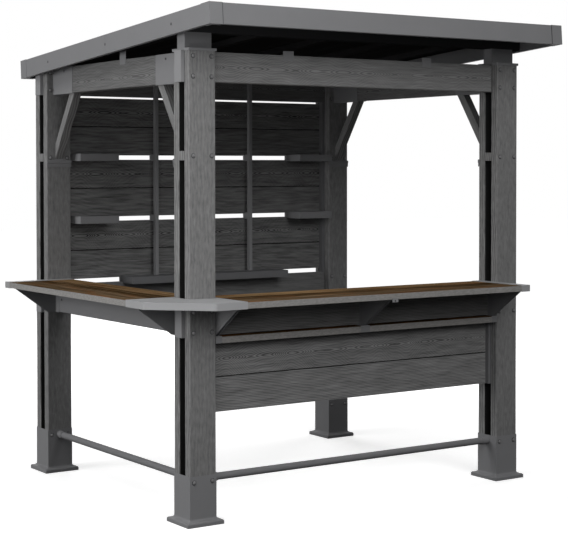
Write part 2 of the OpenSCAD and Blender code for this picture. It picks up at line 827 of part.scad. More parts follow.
// Fascia section: web with a top flange and a bottom return, facing -X
module fascia_section() {
    translate([0, -fascia_h]) square([sheet_t, fascia_h]);
    translate([0, -sheet_t]) square([fascia_top, sheet_t]);
    translate([0, -fascia_h]) square([fascia_return, sheet_t]);
}

module front_back_fascia() {
    color(smooth_grey) whole() pitched() {
        translate([-roof_side, 0, 0]) rotate([90, 0, 90]) linear_extrude(roof_w) fascia_section();
        translate([-roof_side, roof_len, 0]) mirror([0, 1, 0]) rotate([90, 0, 90])
            linear_extrude(roof_w) fascia_section();
    }
}

// Side fascia in two lengths that meet in the middle
module side_fascia() {
    seam = 1;
    l = roof_len / 2 - fascia_top - fit - seam / 2;
    ends = [fascia_top + fit + l, roof_len - fascia_top - fit];
    color(smooth_grey) whole() pitched() for (s = [0, 1], end = ends)
        translate([s == 0 ? -roof_side : span_x + roof_side, end, 0])
            mirror([s, 0, 0]) rotate([90, 0, 0]) linear_extrude(l) fascia_section();
}

// Folded corner cover on the outside of two fascias
module corner_cover() {
    l = corner_cover_l;
    translate([-cover_t, -cover_t, -fascia_h - cover_t]) difference() {
        cube([l + cover_t, l + cover_t, fascia_h + 2 * cover_t]);
        translate([cover_t, cover_t, cover_t]) cube([l + 1, l + 1, fascia_h]);
        translate([30, 30, -1]) cube([l, l, fascia_h + 10]);
    }
}

module fascia_corners() {
    color(smooth_grey) whole() pitched() for (sx = [0, 1], sy = [0, 1])
        translate([sx == 0 ? -roof_side : span_x + roof_side, sy == 0 ? 0 : roof_len, 0])
            mirror([sx, 0, 0]) mirror([0, sy, 0]) corner_cover();
}

// Clip on the top edge of a beam, its face towards -Y
module beam_clip(rise) {
    foot = beam_t / 2;
    translate([-clip_w / 2, -bracket_t, beam_top - clip_lap]) cube([clip_w, bracket_t, clip_lap + rise]);
    translate([-clip_w / 2, -bracket_t, beam_top]) cube([clip_w, foot, bracket_t]);
}

module beam_clips() {
    color(light_grey) whole() {
        for (s = [-1, 1])
            translate([right_x / 2 + s * front_clip_x, -beam_t / 2, 0]) beam_clip(front_clip_rise);
        translate([-side_beam_t / 2, left_clip_y, 0]) rotate([0, 0, -90]) beam_clip(left_clip_rise);
    }
}

post(0, 0);  // front_left_post
post(right_x, 0);  // front_right_post
post(0, back_y);  // back_left_post
post(right_x, back_y);  // back_right_post
base(0, 0);  // front_left_base
base(right_x, 0);  // front_right_base
base(0, back_y);  // back_left_base
base(right_x, back_y);  // back_right_base
through_beam(0, beam_z, beam_h);  // front_beam
through_beam(back_y, beam_z, beam_h);  // back_beam
side_beam(0, beam_z, beam_h);  // left_beam
side_beam(right_x, beam_z, beam_h);  // right_beam
through_beam(0, rail_z, rail_h);  // front_rail
side_beam(0, side_rail_z, side_rail_h);  // left_rail
through_beam(back_y, rail_z, rail_h);  // back_rail
beam_end_caps();
beam_hangers();
braces(0);  // left_braces
braces(right_x);  // right_braces
brace_ledges();
front_counter();
left_counter();
counter_edging();
corner_tray();
end_trays();
counter_brackets();
bottle_opener();
front_ledge();
ledge_metalwork();
front_panel();
back_wall();
panel_channels();
wall_uprights();
short_shelves();
long_shelf();
front_foot_rail();
left_foot_rail();
post_caps();
roof_rails();
rafters();
roofing();
front_back_fascia();
side_fascia();
fascia_corners();
beam_clips();
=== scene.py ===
"""Bar gazebo: paints, boards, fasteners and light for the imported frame."""
import json
import math

import bmesh
import bpy
from mathutils import Matrix, Vector


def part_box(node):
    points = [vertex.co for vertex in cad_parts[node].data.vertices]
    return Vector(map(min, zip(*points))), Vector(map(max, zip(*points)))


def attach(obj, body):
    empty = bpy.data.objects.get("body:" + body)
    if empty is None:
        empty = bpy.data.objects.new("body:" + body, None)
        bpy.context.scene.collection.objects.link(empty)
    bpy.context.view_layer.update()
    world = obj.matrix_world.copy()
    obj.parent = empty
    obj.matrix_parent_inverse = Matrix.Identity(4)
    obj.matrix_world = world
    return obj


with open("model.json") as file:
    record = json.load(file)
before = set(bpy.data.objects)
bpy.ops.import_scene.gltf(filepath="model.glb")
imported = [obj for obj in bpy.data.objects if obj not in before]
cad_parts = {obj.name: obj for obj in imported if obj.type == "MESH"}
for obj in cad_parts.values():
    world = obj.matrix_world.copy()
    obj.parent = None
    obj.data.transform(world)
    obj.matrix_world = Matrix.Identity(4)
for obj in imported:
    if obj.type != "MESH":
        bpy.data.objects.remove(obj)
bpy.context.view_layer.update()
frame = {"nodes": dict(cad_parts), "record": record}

nodes = frame["nodes"]

# Colours of the paints and boards, as light reflected. The deep ones are for the wall, the
# side and rear beams, the rear rail, the long shelf and the panel channels: darker copies of the
# paints, as painted shade for the shade that falls on them under the roof and inside the gazebo.
GRAINED = (0.187, 0.187, 0.187)
GRAINED_PAINTED_SHADE = (0.147, 0.147, 0.147)
SMOOTH = (0.199, 0.2, 0.206)
SMOOTH_PAINTED_SHADE = (0.142, 0.143, 0.148)
# A lighter copy of the satin paint: painted light on the beam end caps and wall uprights.
SMOOTH_PAINTED_LIGHT = (0.235, 0.236, 0.243)
# The trays' lighter colour is painted light on what is probably the satin paint.
TRAY_PAINTED_LIGHT = (0.312, 0.314, 0.32)
EDGING = (0.24, 0.234, 0.226)
ROOFING = (0.03, 0.03, 0.031)
# Near black on the roof rails and rafters: painted shade under the roof.
ROOF_FRAME_PAINTED_SHADE = (0.04, 0.04, 0.042)
# Near black: painted shade inside the gaps of the posts, and the dark joint between planks.
JOINT_AND_GAP_SHADE = (0.02, 0.02, 0.02)
BOLT = (0.155, 0.155, 0.158)
# Near black washers: painted shade around the bolt heads.
WASHER_PAINTED_SHADE = (0.045, 0.045, 0.047)
SCREW = (0.06, 0.06, 0.063)
BOARD_TAN = (0.205, 0.128, 0.062)
BOARD_DARK = (0.06, 0.036, 0.016)
BOARD_MID = (0.112, 0.074, 0.042)
BOARD_RED = (0.15, 0.065, 0.026)
BOARD_PALE = (0.27, 0.185, 0.11)

POSTS = ("front_left_post", "front_right_post", "back_left_post", "back_right_post")
BASES = ("front_left_base", "front_right_base", "back_left_base", "back_right_base")

# Size of a post, from the frame, and of its two boards and the gap between them
post_low, post_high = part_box("front_left_post")
POST_WIDTH = post_high.x - post_low.x
POST_DEPTH = post_high.y - post_low.y
POST_BOARD = 0.047
POST_GAP = POST_DEPTH - 2 * POST_BOARD
POST_BOARD_MIDDLE = (POST_GAP + POST_BOARD) / 2

BRACE_RUN = 0.233      # how far a brace reaches along its beam
STRIP_OUTER = 0.150    # widths of the counter's first two strips, from the outer edge
STRIP_MIDDLE = 0.107
LEDGE_SHIFT = 0.155    # the ledge is cut from the second strip
WALL_PAIRS = 3         # pairs of planks in the wall, with slots between them


# ---------------------------------------------------------------- camera
CAMERA_PLACE = (-4.52896, -6.68871, 1.67988)
CAMERA_RIGHT = (0.837226, -0.546855, -0.001478)
CAMERA_UP = (0.014347, 0.019264, 0.999712)
CAMERA_FORWARD = (0.546669, 0.837006, -0.023974)
CAMERA_LENS = 95.077
CAMERA_SHIFT = (0.07086, -0.11426)


def place_camera():
    data = bpy.data.cameras.new("camera")
    camera = bpy.data.objects.new("camera", data)
    bpy.context.scene.collection.objects.link(camera)
    turn = Matrix((CAMERA_RIGHT, CAMERA_UP, -Vector(CAMERA_FORWARD))).transposed()
    camera.matrix_world = Matrix.Translation(CAMERA_PLACE) @ turn.to_4x4()
    data.sensor_width = 36.0
    data.lens = CAMERA_LENS
    data.shift_x, data.shift_y = CAMERA_SHIFT
    data.clip_end = 100.0
    bpy.context.scene.camera = camera


# ---------------------------------------------------------------- node helpers
def put(tree, kind, values=None, **settings):
    """Adds a node. Values maps a socket to a constant or to another node's output."""
    node = tree.nodes.new(kind)
    for key, value in settings.items():
        setattr(node, key, value)
    for key, value in (values or {}).items():
        if isinstance(value, bpy.types.NodeSocket):
            tree.links.new(value, node.inputs[key])
        else:
            node.inputs[key].default_value = value
    return node


def calc(tree, operation, *values):
    return put(tree, "ShaderNodeMath", dict(enumerate(values)), operation=operation).outputs[0]


def offset(tree, socket, value):
    return calc(tree, "SUBTRACT", socket, value)


def gap_to(tree, socket, value):
    """Distance from a value, on either side."""
    return calc(tree, "ABSOLUTE", offset(tree, socket, value))


def swing(tree, noise_value, amount, level):
    """Moves a level up and down with a noise, whose middle is a half."""
    return calc(tree, "MULTIPLY_ADD", offset(tree, noise_value, 0.5), amount, level)


def clamp(tree, value, low, high):
    """Goes from 0 at low to 1 at high, and stays there."""
    values = {"Value": value, "From Min": low, "From Max": high}
    return put(tree, "ShaderNodeMapRange", values, interpolation_type="SMOOTHSTEP").outputs[0]


def noise(tree, vector, scale, detail=2.0, roughness=0.5):
    values = {"Vector": vector, "Scale": scale, "Detail": detail, "Roughness": roughness}
    return put(tree, "ShaderNodeTexNoise", values).outputs["Fac"]


def pack(tree, x, y, z):
    return put(tree, "ShaderNodeCombineXYZ", {0: x, 1: y, 2: z}).outputs[0]


def stretched(tree, place, counts):
    """A place for noise: each coordinate times its own count per metre."""
    return pack(tree, *(calc(tree, "MULTIPLY", *pair) for pair in zip(place, counts)))


def tint(tree, factor, a, b, blend="MIX"):
    node = put(tree, "ShaderNodeMix", data_type="RGBA", blend_type=blend)
    for index, value in ((0, factor), (6, a), (7, b)):
        if isinstance(value, bpy.types.NodeSocket):
            tree.links.new(value, node.inputs[index])
        else:
            node.inputs[index].default_value = value if index == 0 else (*value, 1)
    return node.outputs[2]


def darken(tree, colour, shade):
    """Multiplies a colour by a grey level."""
    return tint(tree, 1.0, colour, pack(tree, shade, shade, shade), "MULTIPLY")


def new_group(name, takes, gives):
    group = bpy.data.node_groups.new(name, "ShaderNodeTree")
    kind = "NodeSocketFloat"
    for label, value in takes.items():
        socket = group.interface.new_socket(label, in_out="INPUT", socket_type=kind)
        socket.default_value = value
    for label in gives:
        group.interface.new_socket(label, in_out="OUTPUT", socket_type=kind)
    return group, group.nodes.new("NodeGroupInput").outputs, group.nodes.new("NodeGroupOutput")


def place_group(tree, group, values):
    return put(tree, "ShaderNodeGroup", values, node_tree=group).outputs


def new_material(name, roughness, specular):
    material = bpy.data.materials.new(name)
    material.use_nodes = True
    tree = material.node_tree
    shader = tree.nodes["Principled BSDF"]
    shader.inputs["Roughness"].default_value = roughness
    shader.inputs["Specular IOR Level"].default_value = specular
    return material, tree, shader


def object_place(tree):
    place = put(tree, "ShaderNodeTexCoord").outputs["Object"]
    return put(tree, "ShaderNodeSeparateXYZ", {0: place}).outputs


def relief(tree, shader, height, strength, depth):
    values = {"Strength": strength, "Distance": depth, "Height": height}
    bump = put(tree, "ShaderNodeBump", values)
    tree.links.new(bump.outputs[0], shader.inputs["Normal"])


# ---------------------------------------------------------------- shared effects
PLANK_STREAKS = 7.0    # streaks per metre along a beam or plank
POST_STREAKS = 26.0    # and along a post, where they are shorter
BESIDE_PITH = 0.1      # the log's middle lies this far to the side: straight grain
AT_PITH = 0.0          # pointed eyes along the middle of the board


def make_pressed_grain():
    """Wood grain pressed into metal: the year rings of a wavy log that the board cuts.

    Pith is how far to the side the middle of the log lies: near 0 the rings close in long
    pointed eyes along the board, further off they run straight.
    """
    takes = {"Along": 0, "Across": 0, "Through": 0, "Seed": 0, "Pith": 0,
             "Ring Width": 0.0076, "Streaks": PLANK_STREAKS}
    group, given, out = new_group("pressed_grain", takes, ("Height", "Shade"))
    g = group
    log_step, bend_step = 3.7, 5.3
    bends_per_metre = 4.2
    widest_bend, pith_pull, least_bend = 0.17, -1.4, 0.02
    rounding = 0.00004
    ripples_along, ripples_across, ripple_turns = 9.0, 30.0, 0.7
    fibres_across, patches_across = 120.0, 50.0

    # The board is cut from a log whose middle wanders from side to side
    along = calc(g, "MULTIPLY_ADD", given["Seed"], log_step, given["Along"])
    slow = stretched(g, (along, given["Seed"], 0.0), (bends_per_metre, bend_step, 0.0))
    bend = offset(g, noise(g, slow, 1.0, 1), 0.5)
    reach = calc(g, "MULTIPLY_ADD", given["Pith"], pith_pull, widest_bend)
    reach = calc(g, "MAXIMUM", reach, least_bend)
    across = calc(g, "ADD", given["Across"], given["Pith"])
    aside = calc(g, "SQRT", calc(g, "MULTIPLY_ADD", across, across, rounding))
    aside = calc(g, "MULTIPLY_ADD", bend, reach, aside)
    radius = calc(g, "MULTIPLY_ADD", given["Through"], 0.5, aside)

    # Year rings, with a ripple on them
    side = (given["Across"], given["Through"])
    ripple = noise(g, stretched(g, (along, *side), (ripples_along, ripples_across, 1.0)), 1.0, 3)
    turns = calc(g, "DIVIDE", radius, given["Ring Width"])
    turns = calc(g, "MULTIPLY_ADD", ripple, ripple_turns, turns)
    wave = calc(g, "SINE", calc(g, "MULTIPLY", turns, math.tau))
    groove = calc(g, "POWER", calc(g, "MULTIPLY_ADD", wave, 0.5, 0.5), 1.6)

    # Fibres and wider patches, drawn out along the board
    fibre_counts = (given["Streaks"], fibres_across, fibres_across)
    fibre = noise(g, stretched(g, (along, *side), fibre_counts), 1.0, 3, 0.6)
    patch_counts = (given["Streaks"], patches_across, patches_across)
    patch = noise(g, stretched(g, (along, *side), patch_counts), 1.0, 3)

    fibre_height, groove_height = 0.55, 0.45
    height = calc(g, "MULTIPLY", fibre, fibre_height)
    height = calc(g, "SUBTRACT", height, calc(g, "MULTIPLY", groove, groove_height))
    shade = calc(g, "MULTIPLY_ADD", groove, -0.5, 1.2)
    shade = swing(g, fibre, 0.75, shade)
    shade = swing(g, patch, 0.55, shade)
    group.links.new(height, out.inputs["Height"])
    group.links.new(shade, out.inputs["Shade"])
    return group


def make_powder_coat():
    """Sprayed paint: faint clouds, a fine orange peel and a little settled dust."""
    takes = {"Cloud Size": 0.12}
    group, given, out = new_group("powder_coat", takes, ("Height", "Shade", "Rough"))
    g = group
    peels_per_metre, specks_per_metre = 520.0, 1500.0
    place = put(g, "ShaderNodeTexCoord").outputs["Object"]
    cloud = noise(g, place, calc(g, "DIVIDE", 1.0, given["Cloud Size"]), 3)
    peel = noise(g, place, peels_per_metre, 2)
    speck = noise(g, place, specks_per_metre, 1)
    shade = swing(g, cloud, 0.1, 0.97)
    shade = calc(g, "MULTIPLY_ADD", offset(g, speck, 0.3), 0.1, shade)
    group.links.new(peel, out.inputs["Height"])
    group.links.new(shade, out.inputs["Shade"])
    group.links.new(swing(g, cloud, 0.16, 0.0), out.inputs["Rough"])
    return group


pressed_grain = make_pressed_grain()
powder_coat = make_powder_coat()


# ---------------------------------------------------------------- grained metal
GRAIN_DEPTH = 0.0012
LEAST_SHADE = 0.1


def middle(node):
    low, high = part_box(node)
    return (low + high) / 2


def grain_shader(name, board, streaks=PLANK_STREAKS, paint=GRAINED, contrast=1.0):
    """Charcoal paint with pressed grain. Board gives along, across, through, seed and pith."""
    material, tree, shader = new_material(name, roughness=0.72, specular=0.02)
    along, across, through, seed, pith = board(tree, object_place(tree))
    grain = place_group(tree, pressed_grain, {"Along": along, "Across": across, "Through": through,
                                              "Seed": seed, "Pith": pith, "Streaks": streaks})
    shade = calc(tree, "MULTIPLY_ADD", offset(tree, grain["Shade"], 1.0), contrast, 1.0)
    colour = darken(tree, paint, calc(tree, "MAXIMUM", shade, LEAST_SHADE))
    relief(tree, shader, grain["Height"], strength=0.55, depth=GRAIN_DEPTH)
    return material, tree, shader, colour


def finish_grain(name, board, paint=GRAINED):
    material, tree, shader, colour = grain_shader(name, board, paint=paint)
    tree.links.new(colour, shader.inputs["Base Color"])
    return material


def post_finish(node, number):
    """Two boards, front and back. The sides that face each other are tinted near black, as painted
    shade in the gap.
    """
    centre = middle(node)
    post_pith = 0.12
    skin, rim = 0.001, 0.004

    def board(tree, place):
        across = offset(tree, place[0], centre.x)
        depth = offset(tree, place[1], centre.y)
        behind = calc(tree, "GREATER_THAN", depth, 0.0)
        through = offset(tree, calc(tree, "ABSOLUTE", depth), POST_BOARD_MIDDLE)
        seed = calc(tree, "ADD", behind, number * 2.0 + 1.0)
        return place[2], across, through, seed, post_pith

    material, tree, shader, colour = grain_shader(f"{node}_paint", board, POST_STREAKS)
    place = object_place(tree)
    depth = gap_to(tree, place[1], centre.y)
    inside = calc(tree, "LESS_THAN", depth, POST_GAP / 2 + skin)
    reach = gap_to(tree, place[0], centre.x)
    deep = calc(tree, "LESS_THAN", reach, POST_WIDTH / 2 - rim)
    # Faces inside the gap between the boards are tinted near black: painted shade.
    colour = tint(tree, calc(tree, "MULTIPLY", inside, deep), colour, JOINT_AND_GAP_SHADE)
    tree.links.new(colour, shader.inputs["Base Color"])
    return material


def beam_finish(node, axis, seed, pith, paint):
    """Grain along a level beam or rail, which runs along X (0) or Y (1)."""
    centre = middle(node)

    def board(tree, place):
        across = offset(tree, place[2], centre.z)
        through = offset(tree, place[1 - axis], centre[1 - axis])
        return place[axis], across, through, seed, pith

    return finish_grain(f"{node}_paint", board, paint)


def planked(node, low, plank, pitch, seed, paint=GRAINED, contrast=1.4):
    """Pairs of planks of one width, each pair a pitch above the one before, with a dark groove.

    The lower plank of a pair has straight grain and the upper one has eyes.
    """
    centre = middle(node)
    groove_from, groove_to = 0.0015, 0.0045

    def split(tree, place):
        steps = calc(tree, "DIVIDE", offset(tree, place[2], low), pitch)
        inner = calc(tree, "MULTIPLY", calc(tree, "FRACT", steps), pitch)
        return steps, inner, calc(tree, "GREATER_THAN", inner, plank)

    def board(tree, place):
        steps, inner, upper = split(tree, place)
        plank_middle = calc(tree, "MULTIPLY_ADD", upper, plank, plank / 2)
        across = calc(tree, "SUBTRACT", inner, plank_middle)
        pair = calc(tree, "FLOOR", steps)
        number = calc(tree, "ADD", calc(tree, "MULTIPLY_ADD", pair, 2.0, upper), seed)
        pith = calc(tree, "MULTIPLY_ADD", upper, AT_PITH - BESIDE_PITH, BESIDE_PITH)
        return place[0], across, offset(tree, place[1], centre.y), number, pith

    material, tree, shader, colour = grain_shader(f"{node}_paint", board, paint=paint,
                                                  contrast=contrast)
    inner = split(tree, object_place(tree))[1]
    groove = clamp(tree, gap_to(tree, inner, plank), groove_from, groove_to)
    tree.links.new(tint(tree, groove, JOINT_AND_GAP_SHADE, colour), shader.inputs["Base Color"])
    return material


def brace_finish(node, seed):
    """Grain that follows the slope of the braces, on both sides of the middle."""
    low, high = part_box(node)
    centre = middle(node)
    reach = Vector((BRACE_RUN, high.z - low.z)).normalized()

    def board(tree, place):
        side = gap_to(tree, place[1], centre.y)
        along = calc(tree, "MULTIPLY", place[2], reach.y)
        along = calc(tree, "MULTIPLY_ADD", side, -reach.x, along)
        across = calc(tree, "MULTIPLY", place[2], reach.x)
        across = calc(tree, "MULTIPLY_ADD", side, reach.y, across)
        return along, across, offset(tree, place[0], centre.x), seed, BESIDE_PITH

    return finish_grain(f"{node}_paint", board)


# ---------------------------------------------------------------- smooth metal
PEEL_DEPTH = 0.00012
HAIRLINE = (0.001, 0.003)


def coated(name, colour, roughness, specular, cloud=0.12, seams=()):
    """Powder coat, with a dark hairline at each place along X where a cover ends."""
    material, tree, shader = new_material(name, roughness, specular)
    coat = place_group(tree, powder_coat, {"Cloud Size": cloud})
    shade = coat["Shade"]
    if seams:
        place = object_place(tree)
        line = 1.0
        for seam in seams:
            near = clamp(tree, gap_to(tree, place[0], seam), *HAIRLINE)
            line = calc(tree, "MULTIPLY", line, near)
        shade = calc(tree, "MULTIPLY", shade, calc(tree, "MULTIPLY_ADD", line, 0.7, 0.3))
    tree.links.new(darken(tree, colour, shade), shader.inputs["Base Color"])
    tree.links.new(calc(tree, "ADD", coat["Rough"], roughness), shader.inputs["Roughness"])
    relief(tree, shader, coat["Height"], strength=0.35, depth=PEEL_DEPTH)
    return material


def inner_edges(node):
    """Where corner pieces end towards the middle, on the left and the right side."""
    centre = middle(node).x
    places = [vertex.co.x for vertex in nodes[node].data.vertices]
    return max(p for p in places if p < centre), min(p for p in places if p > centre)


# ---------------------------------------------------------------- counter boards
JOINT = (0.0008, 0.0022)
STRIP_SHIFT = 3.1                      # moves the pattern along from strip to strip
STREAK_COUNTS = (1.8, 60.0, 1.0)       # per metre along, across and through the board
FIBRE_COUNTS = (12.0, 420.0, 420.0)
PATCH_COUNTS = (3.2, 14.0, 1.0)
EDGE_LINE_COUNTS = (55.0, 55.0, 170.0)   # per metre along X, Y and Z
LEAST_BOARD_SHADE = 0.3


def striped(name, axis, outer, tone=1.0):
    """Three strips side by side, each with its own colour and streaks along the board.

    The board runs along X (0) or Y (1), and its strips are counted from the outer edge.
    Tone darkens them all.
    """
    material, tree, shader = new_material(name, roughness=0.6, specular=0.0)
    place = object_place(tree)
    across = place[1 - axis]
    edges = (STRIP_OUTER, STRIP_OUTER + STRIP_MIDDLE)
    depth = offset(tree, across, outer)
    first, second = (calc(tree, "GREATER_THAN", depth, edge) for edge in edges)
    strip = calc(tree, "ADD", first, second)
    run = calc(tree, "MULTIPLY_ADD", strip, STRIP_SHIFT, place[axis])

    at = (run, across, place[2])
    streak = noise(tree, stretched(tree, at, STREAK_COUNTS), 1.0, 4, 0.62)
    fibre = noise(tree, stretched(tree, at, FIBRE_COUNTS), 1.0, 2)
    patch = noise(tree, stretched(tree, (run, across, strip), PATCH_COUNTS), 1.0, 3)

    colour = tint(tree, first, BOARD_MID, BOARD_DARK)
    colour = tint(tree, second, colour, BOARD_TAN)
    red = calc(tree, "MULTIPLY", clamp(tree, patch, 0.5, 0.62), 0.6)
    colour = tint(tree, red, colour, BOARD_RED)
    pale = calc(tree, "MULTIPLY", clamp(tree, streak, 0.52, 0.68), 0.6)
    colour = tint(tree, pale, colour, BOARD_PALE)

    shade = swing(tree, fibre, 0.4, swing(tree, streak, 3.2, 1.0))
    shade = calc(tree, "MAXIMUM", shade, LEAST_BOARD_SHADE)
    near = [clamp(tree, gap_to(tree, depth, edge), *JOINT) for edge in edges]
    joint = calc(tree, "MULTIPLY", *near)
    joint_shade = calc(tree, "MULTIPLY_ADD", joint, 0.6 * tone, 0.4 * tone)
    shade = calc(tree, "MULTIPLY", shade, joint_shade)
    tree.links.new(darken(tree, colour, shade), shader.inputs["Base Color"])
    rough = calc(tree, "MULTIPLY_ADD", streak, 0.2, 0.5)
    tree.links.new(rough, shader.inputs["Roughness"])
    height = calc(tree, "MULTIPLY_ADD", fibre, 0.4, joint)
    relief(tree, shader, height, strength=0.5, depth=0.0008)
    return material


def lined_edging(name):
    """Grey edge band with fine lines along it."""
    material, tree, shader = new_material(name, roughness=0.6, specular=0.08)
    lines_at = stretched(tree, object_place(tree), EDGE_LINE_COUNTS)
    lines = noise(tree, lines_at, 1.0, 3, 0.6)
    shade = swing(tree, lines, 0.9, 1.0)
    tree.links.new(darken(tree, EDGING, shade), shader.inputs["Base Color"])
    relief(tree, shader, lines, strength=0.3, depth=0.0003)
    return material


# ---------------------------------------------------------------- finishes on the frame
def give(material, *names):
    for name in names:
        mesh = nodes[name].data
        if not mesh.materials:
            mesh.materials.append(material)
        for index in range(len(mesh.materials)):
            mesh.materials[index] = material


def finish_grained_nodes():
    for number, node in enumerate(POSTS):
        give(post_finish(node, number), node)
    for number, node in enumerate(("front_beam", "back_beam", "front_rail", "back_rail")):
        pith = AT_PITH if "beam" in node else BESIDE_PITH
        # The back beam and the rear rail get the darker copy of the paint: painted shade.
        paint = GRAINED if "front" in node else GRAINED_PAINTED_SHADE
        give(beam_finish(node, 0, seed=20.3 + number, pith=pith, paint=paint), node)
    for number, node in enumerate(("left_beam", "right_beam")):
        # The side beams get the darker copy of the paint: painted shade for the roof's overhang.
        finish = beam_finish(node, 1, seed=30.6 + number, pith=0.02, paint=GRAINED_PAINTED_SHADE)
        give(finish, node)
    for number, node in enumerate(("left_braces", "right_braces")):
        give(brace_finish(node, seed=40.2 + number), node)
    low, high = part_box("front_panel")
    plank = (high.z - low.z) / 2
    give(planked("front_panel", low.z, plank, pitch=1.0, seed=51.0), "front_panel")
    low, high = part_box("back_wall")
    slot = low.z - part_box("back_rail")[1].z
    pitch = (high.z - low.z + slot) / WALL_PAIRS
    plank = (pitch - slot) / 2
    # The wall gets the darker copy of the paint: painted shade.
    finish = planked("back_wall", low.z, plank, pitch, seed=60.0, paint=GRAINED_PAINTED_SHADE, contrast=1.9)
    give(finish, "back_wall")


def finish_smooth_nodes():
    """The satin paint goes on every smooth node first, and some then get their own: a matt one,
    and lighter and darker paints that hold painted light and painted shade.
    """
    satin = coated("satin_paint", SMOOTH, roughness=0.55, specular=0.04)
    for row in frame["record"]["subparts"]:
        if row["material_slot"] == "smooth_metal":
            give(satin, row["node"])
    # A lighter copy of the satin paint: painted light on the beam end caps and the wall uprights.
    lit_satin = coated("satin_paint_painted_light", SMOOTH_PAINTED_LIGHT, roughness=0.5, specular=0.05)
    give(lit_satin, "beam_end_caps", "wall_uprights")
    # A darker copy of the satin paint: painted shade on the long shelf and the panel channels.
    shaded_satin = coated("satin_paint_painted_shade", SMOOTH_PAINTED_SHADE, roughness=0.55, specular=0.04)
    give(shaded_satin, "long_shelf", "panel_channels")
    matt = coated("matt_paint", SMOOTH, roughness=0.7, specular=0.0)
    give(matt, "front_foot_rail", "left_foot_rail")
    # The trays' lighter paint is painted light.
    tray = coated("tray_paint_painted_light", TRAY_PAINTED_LIGHT, roughness=0.5, specular=0.03, cloud=0.2)
    give(tray, "corner_tray", "end_trays")
    roof_edge = coated("roof_edge_paint", SMOOTH, roughness=0.55, specular=0.04,
                       seams=inner_edges("fascia_corners"))
    give(roof_edge, "fascia_corners", "front_back_fascia", "side_fascia")
    dull = coated("dark_sheet_paint", ROOFING, roughness=0.8, specular=0.0, cloud=0.3)
    give(dull, "roofing")
    # Near black on the roof rails and rafters is painted shade under the roof.
    shaded = coated("roof_frame_painted_shade", ROOF_FRAME_PAINTED_SHADE, roughness=0.8, specular=0.0)
    give(shaded, "roof_rails", "rafters")


def finish_counter(edging):
    front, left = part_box("front_counter")[0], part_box("left_counter")[0]
    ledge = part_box("front_ledge")[0]
    give(striped("front_counter_boards", 0, front.y), "front_counter")
    give(striped("left_counter_boards", 1, left.x), "left_counter")
    give(striped("front_ledge_boards", 0, ledge.y - LEDGE_SHIFT, tone=0.6), "front_ledge")
    give(edging, "counter_edging")


# ---------------------------------------------------------------- fasteners
def lathe(points, steps):
    """Turned shape from radius and height points, closed at the axis."""
    shape = bmesh.new()
    ring = [shape.verts.new((radius, 0, height)) for radius, height in points]
    for a, b in zip(ring, ring[1:]):
        shape.edges.new((a, b))
    bmesh.ops.spin(shape, geom=shape.verts[:] + shape.edges[:], axis=(0, 0, 1), cent=(0, 0, 0),
                   angle=math.tau, steps=steps, use_merge=True)
    bmesh.ops.remove_doubles(shape, verts=shape.verts[:], dist=1e-6)
    bmesh.ops.recalc_face_normals(shape, faces=shape.faces[:])
    mesh = bpy.data.meshes.new("turned")
    shape.to_mesh(mesh)
    shape.free()
    return mesh


# Outline of a bolt head, as parts of its radius and height: a high dome on a thin flange
DOME = ((0, 0), (1.12, 0), (1.12, 0.12), (1, 0.16), (0.97, 0.42),
        (0.82, 0.7), (0.56, 0.9), (0.26, 0.99), (0, 1))


def domed_head(diameter, height):
    return lathe([(r * diameter / 2, h * height) for r, h in DOME], 16)


def finish_piece(name, shape, material):
    mesh = bpy.data.meshes.new(name)
    shape.to_mesh(mesh)
    shape.free()
    mesh.materials.append(material)
    piece = bpy.data.objects.new(name, mesh)
    bpy.context.scene.collection.objects.link(piece)
    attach(piece, "root")


def joined(name, copies, material):
    """One piece from many copies, each a mesh with its place and turn."""
    shape = bmesh.new()
    for mesh, place in copies:
        count = len(shape.verts)
        shape.from_mesh(mesh)
        shape.verts.ensure_lookup_table()
        bmesh.ops.transform(shape, matrix=place, verts=shape.verts[count:])
    finish_piece(name, shape, material)


def facing(place, outward):
    """Turns +Z to the outward direction at a place."""
    turn = Vector(outward).to_track_quat("Z", "Y").to_matrix().to_4x4()
    return Matrix.Translation(place) @ turn


BOLT_IN = 0.0215          # from the side of a post
BOLT_LOW = 0.0225         # above the lower edge of a beam or rail
BOLT_HIGH = 0.0262        # below its upper edge
BRACE_BOLT_UP = 0.007     # above the lower end of the braces
BASE_BOLT_DOWN = 0.029    # below the rim of a base
SLEEVE = 0.0013           # how far a base's sleeve stands proud of the post
WASHER_RADIUS = 0.0115
WASHER_HEIGHT = 0.0013


def bolt_posts(material, dark):
    """Bolts through both faces of the posts where beams, braces, rails and bases meet them."""
    head = domed_head(diameter=0.0185, height=0.0092)
    places = []
    levels = []
    for node in ("front_beam", "front_rail"):
        low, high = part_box(node)
        levels += [low.z + BOLT_LOW, high.z - BOLT_HIGH]
    levels.append(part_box("left_braces")[0].z + BRACE_BOLT_UP)
    for node in POSTS:
        low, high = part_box(node)
        for y, out in ((low.y, -1), (high.y, 1)):
            for x in (low.x + BOLT_IN, high.x - BOLT_IN):
                places += [facing((x, y, z), (0, out, 0)) for z in levels]
    for node in BASES:
        centre = middle(node)
        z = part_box(node)[1].z - BASE_BOLT_DOWN
        for out in (-1, 1):
            y = centre.y + out * (POST_DEPTH / 2 + SLEEVE)
            for side in (-1, 1):
                x = centre.x + side * (POST_WIDTH / 2 - BOLT_IN)
                places.append(facing((x, y, z), (0, out, 0)))
    rim, top = WASHER_RADIUS, WASHER_HEIGHT
    washer = lathe([(0, 0), (rim, 0), (rim, top - 0.0005), (rim - 0.0008, top), (0, top)], 20)
    joined("post_bolt_washers", [(washer, place) for place in places], dark)
    joined("post_bolts", [(head, place) for place in places], material)


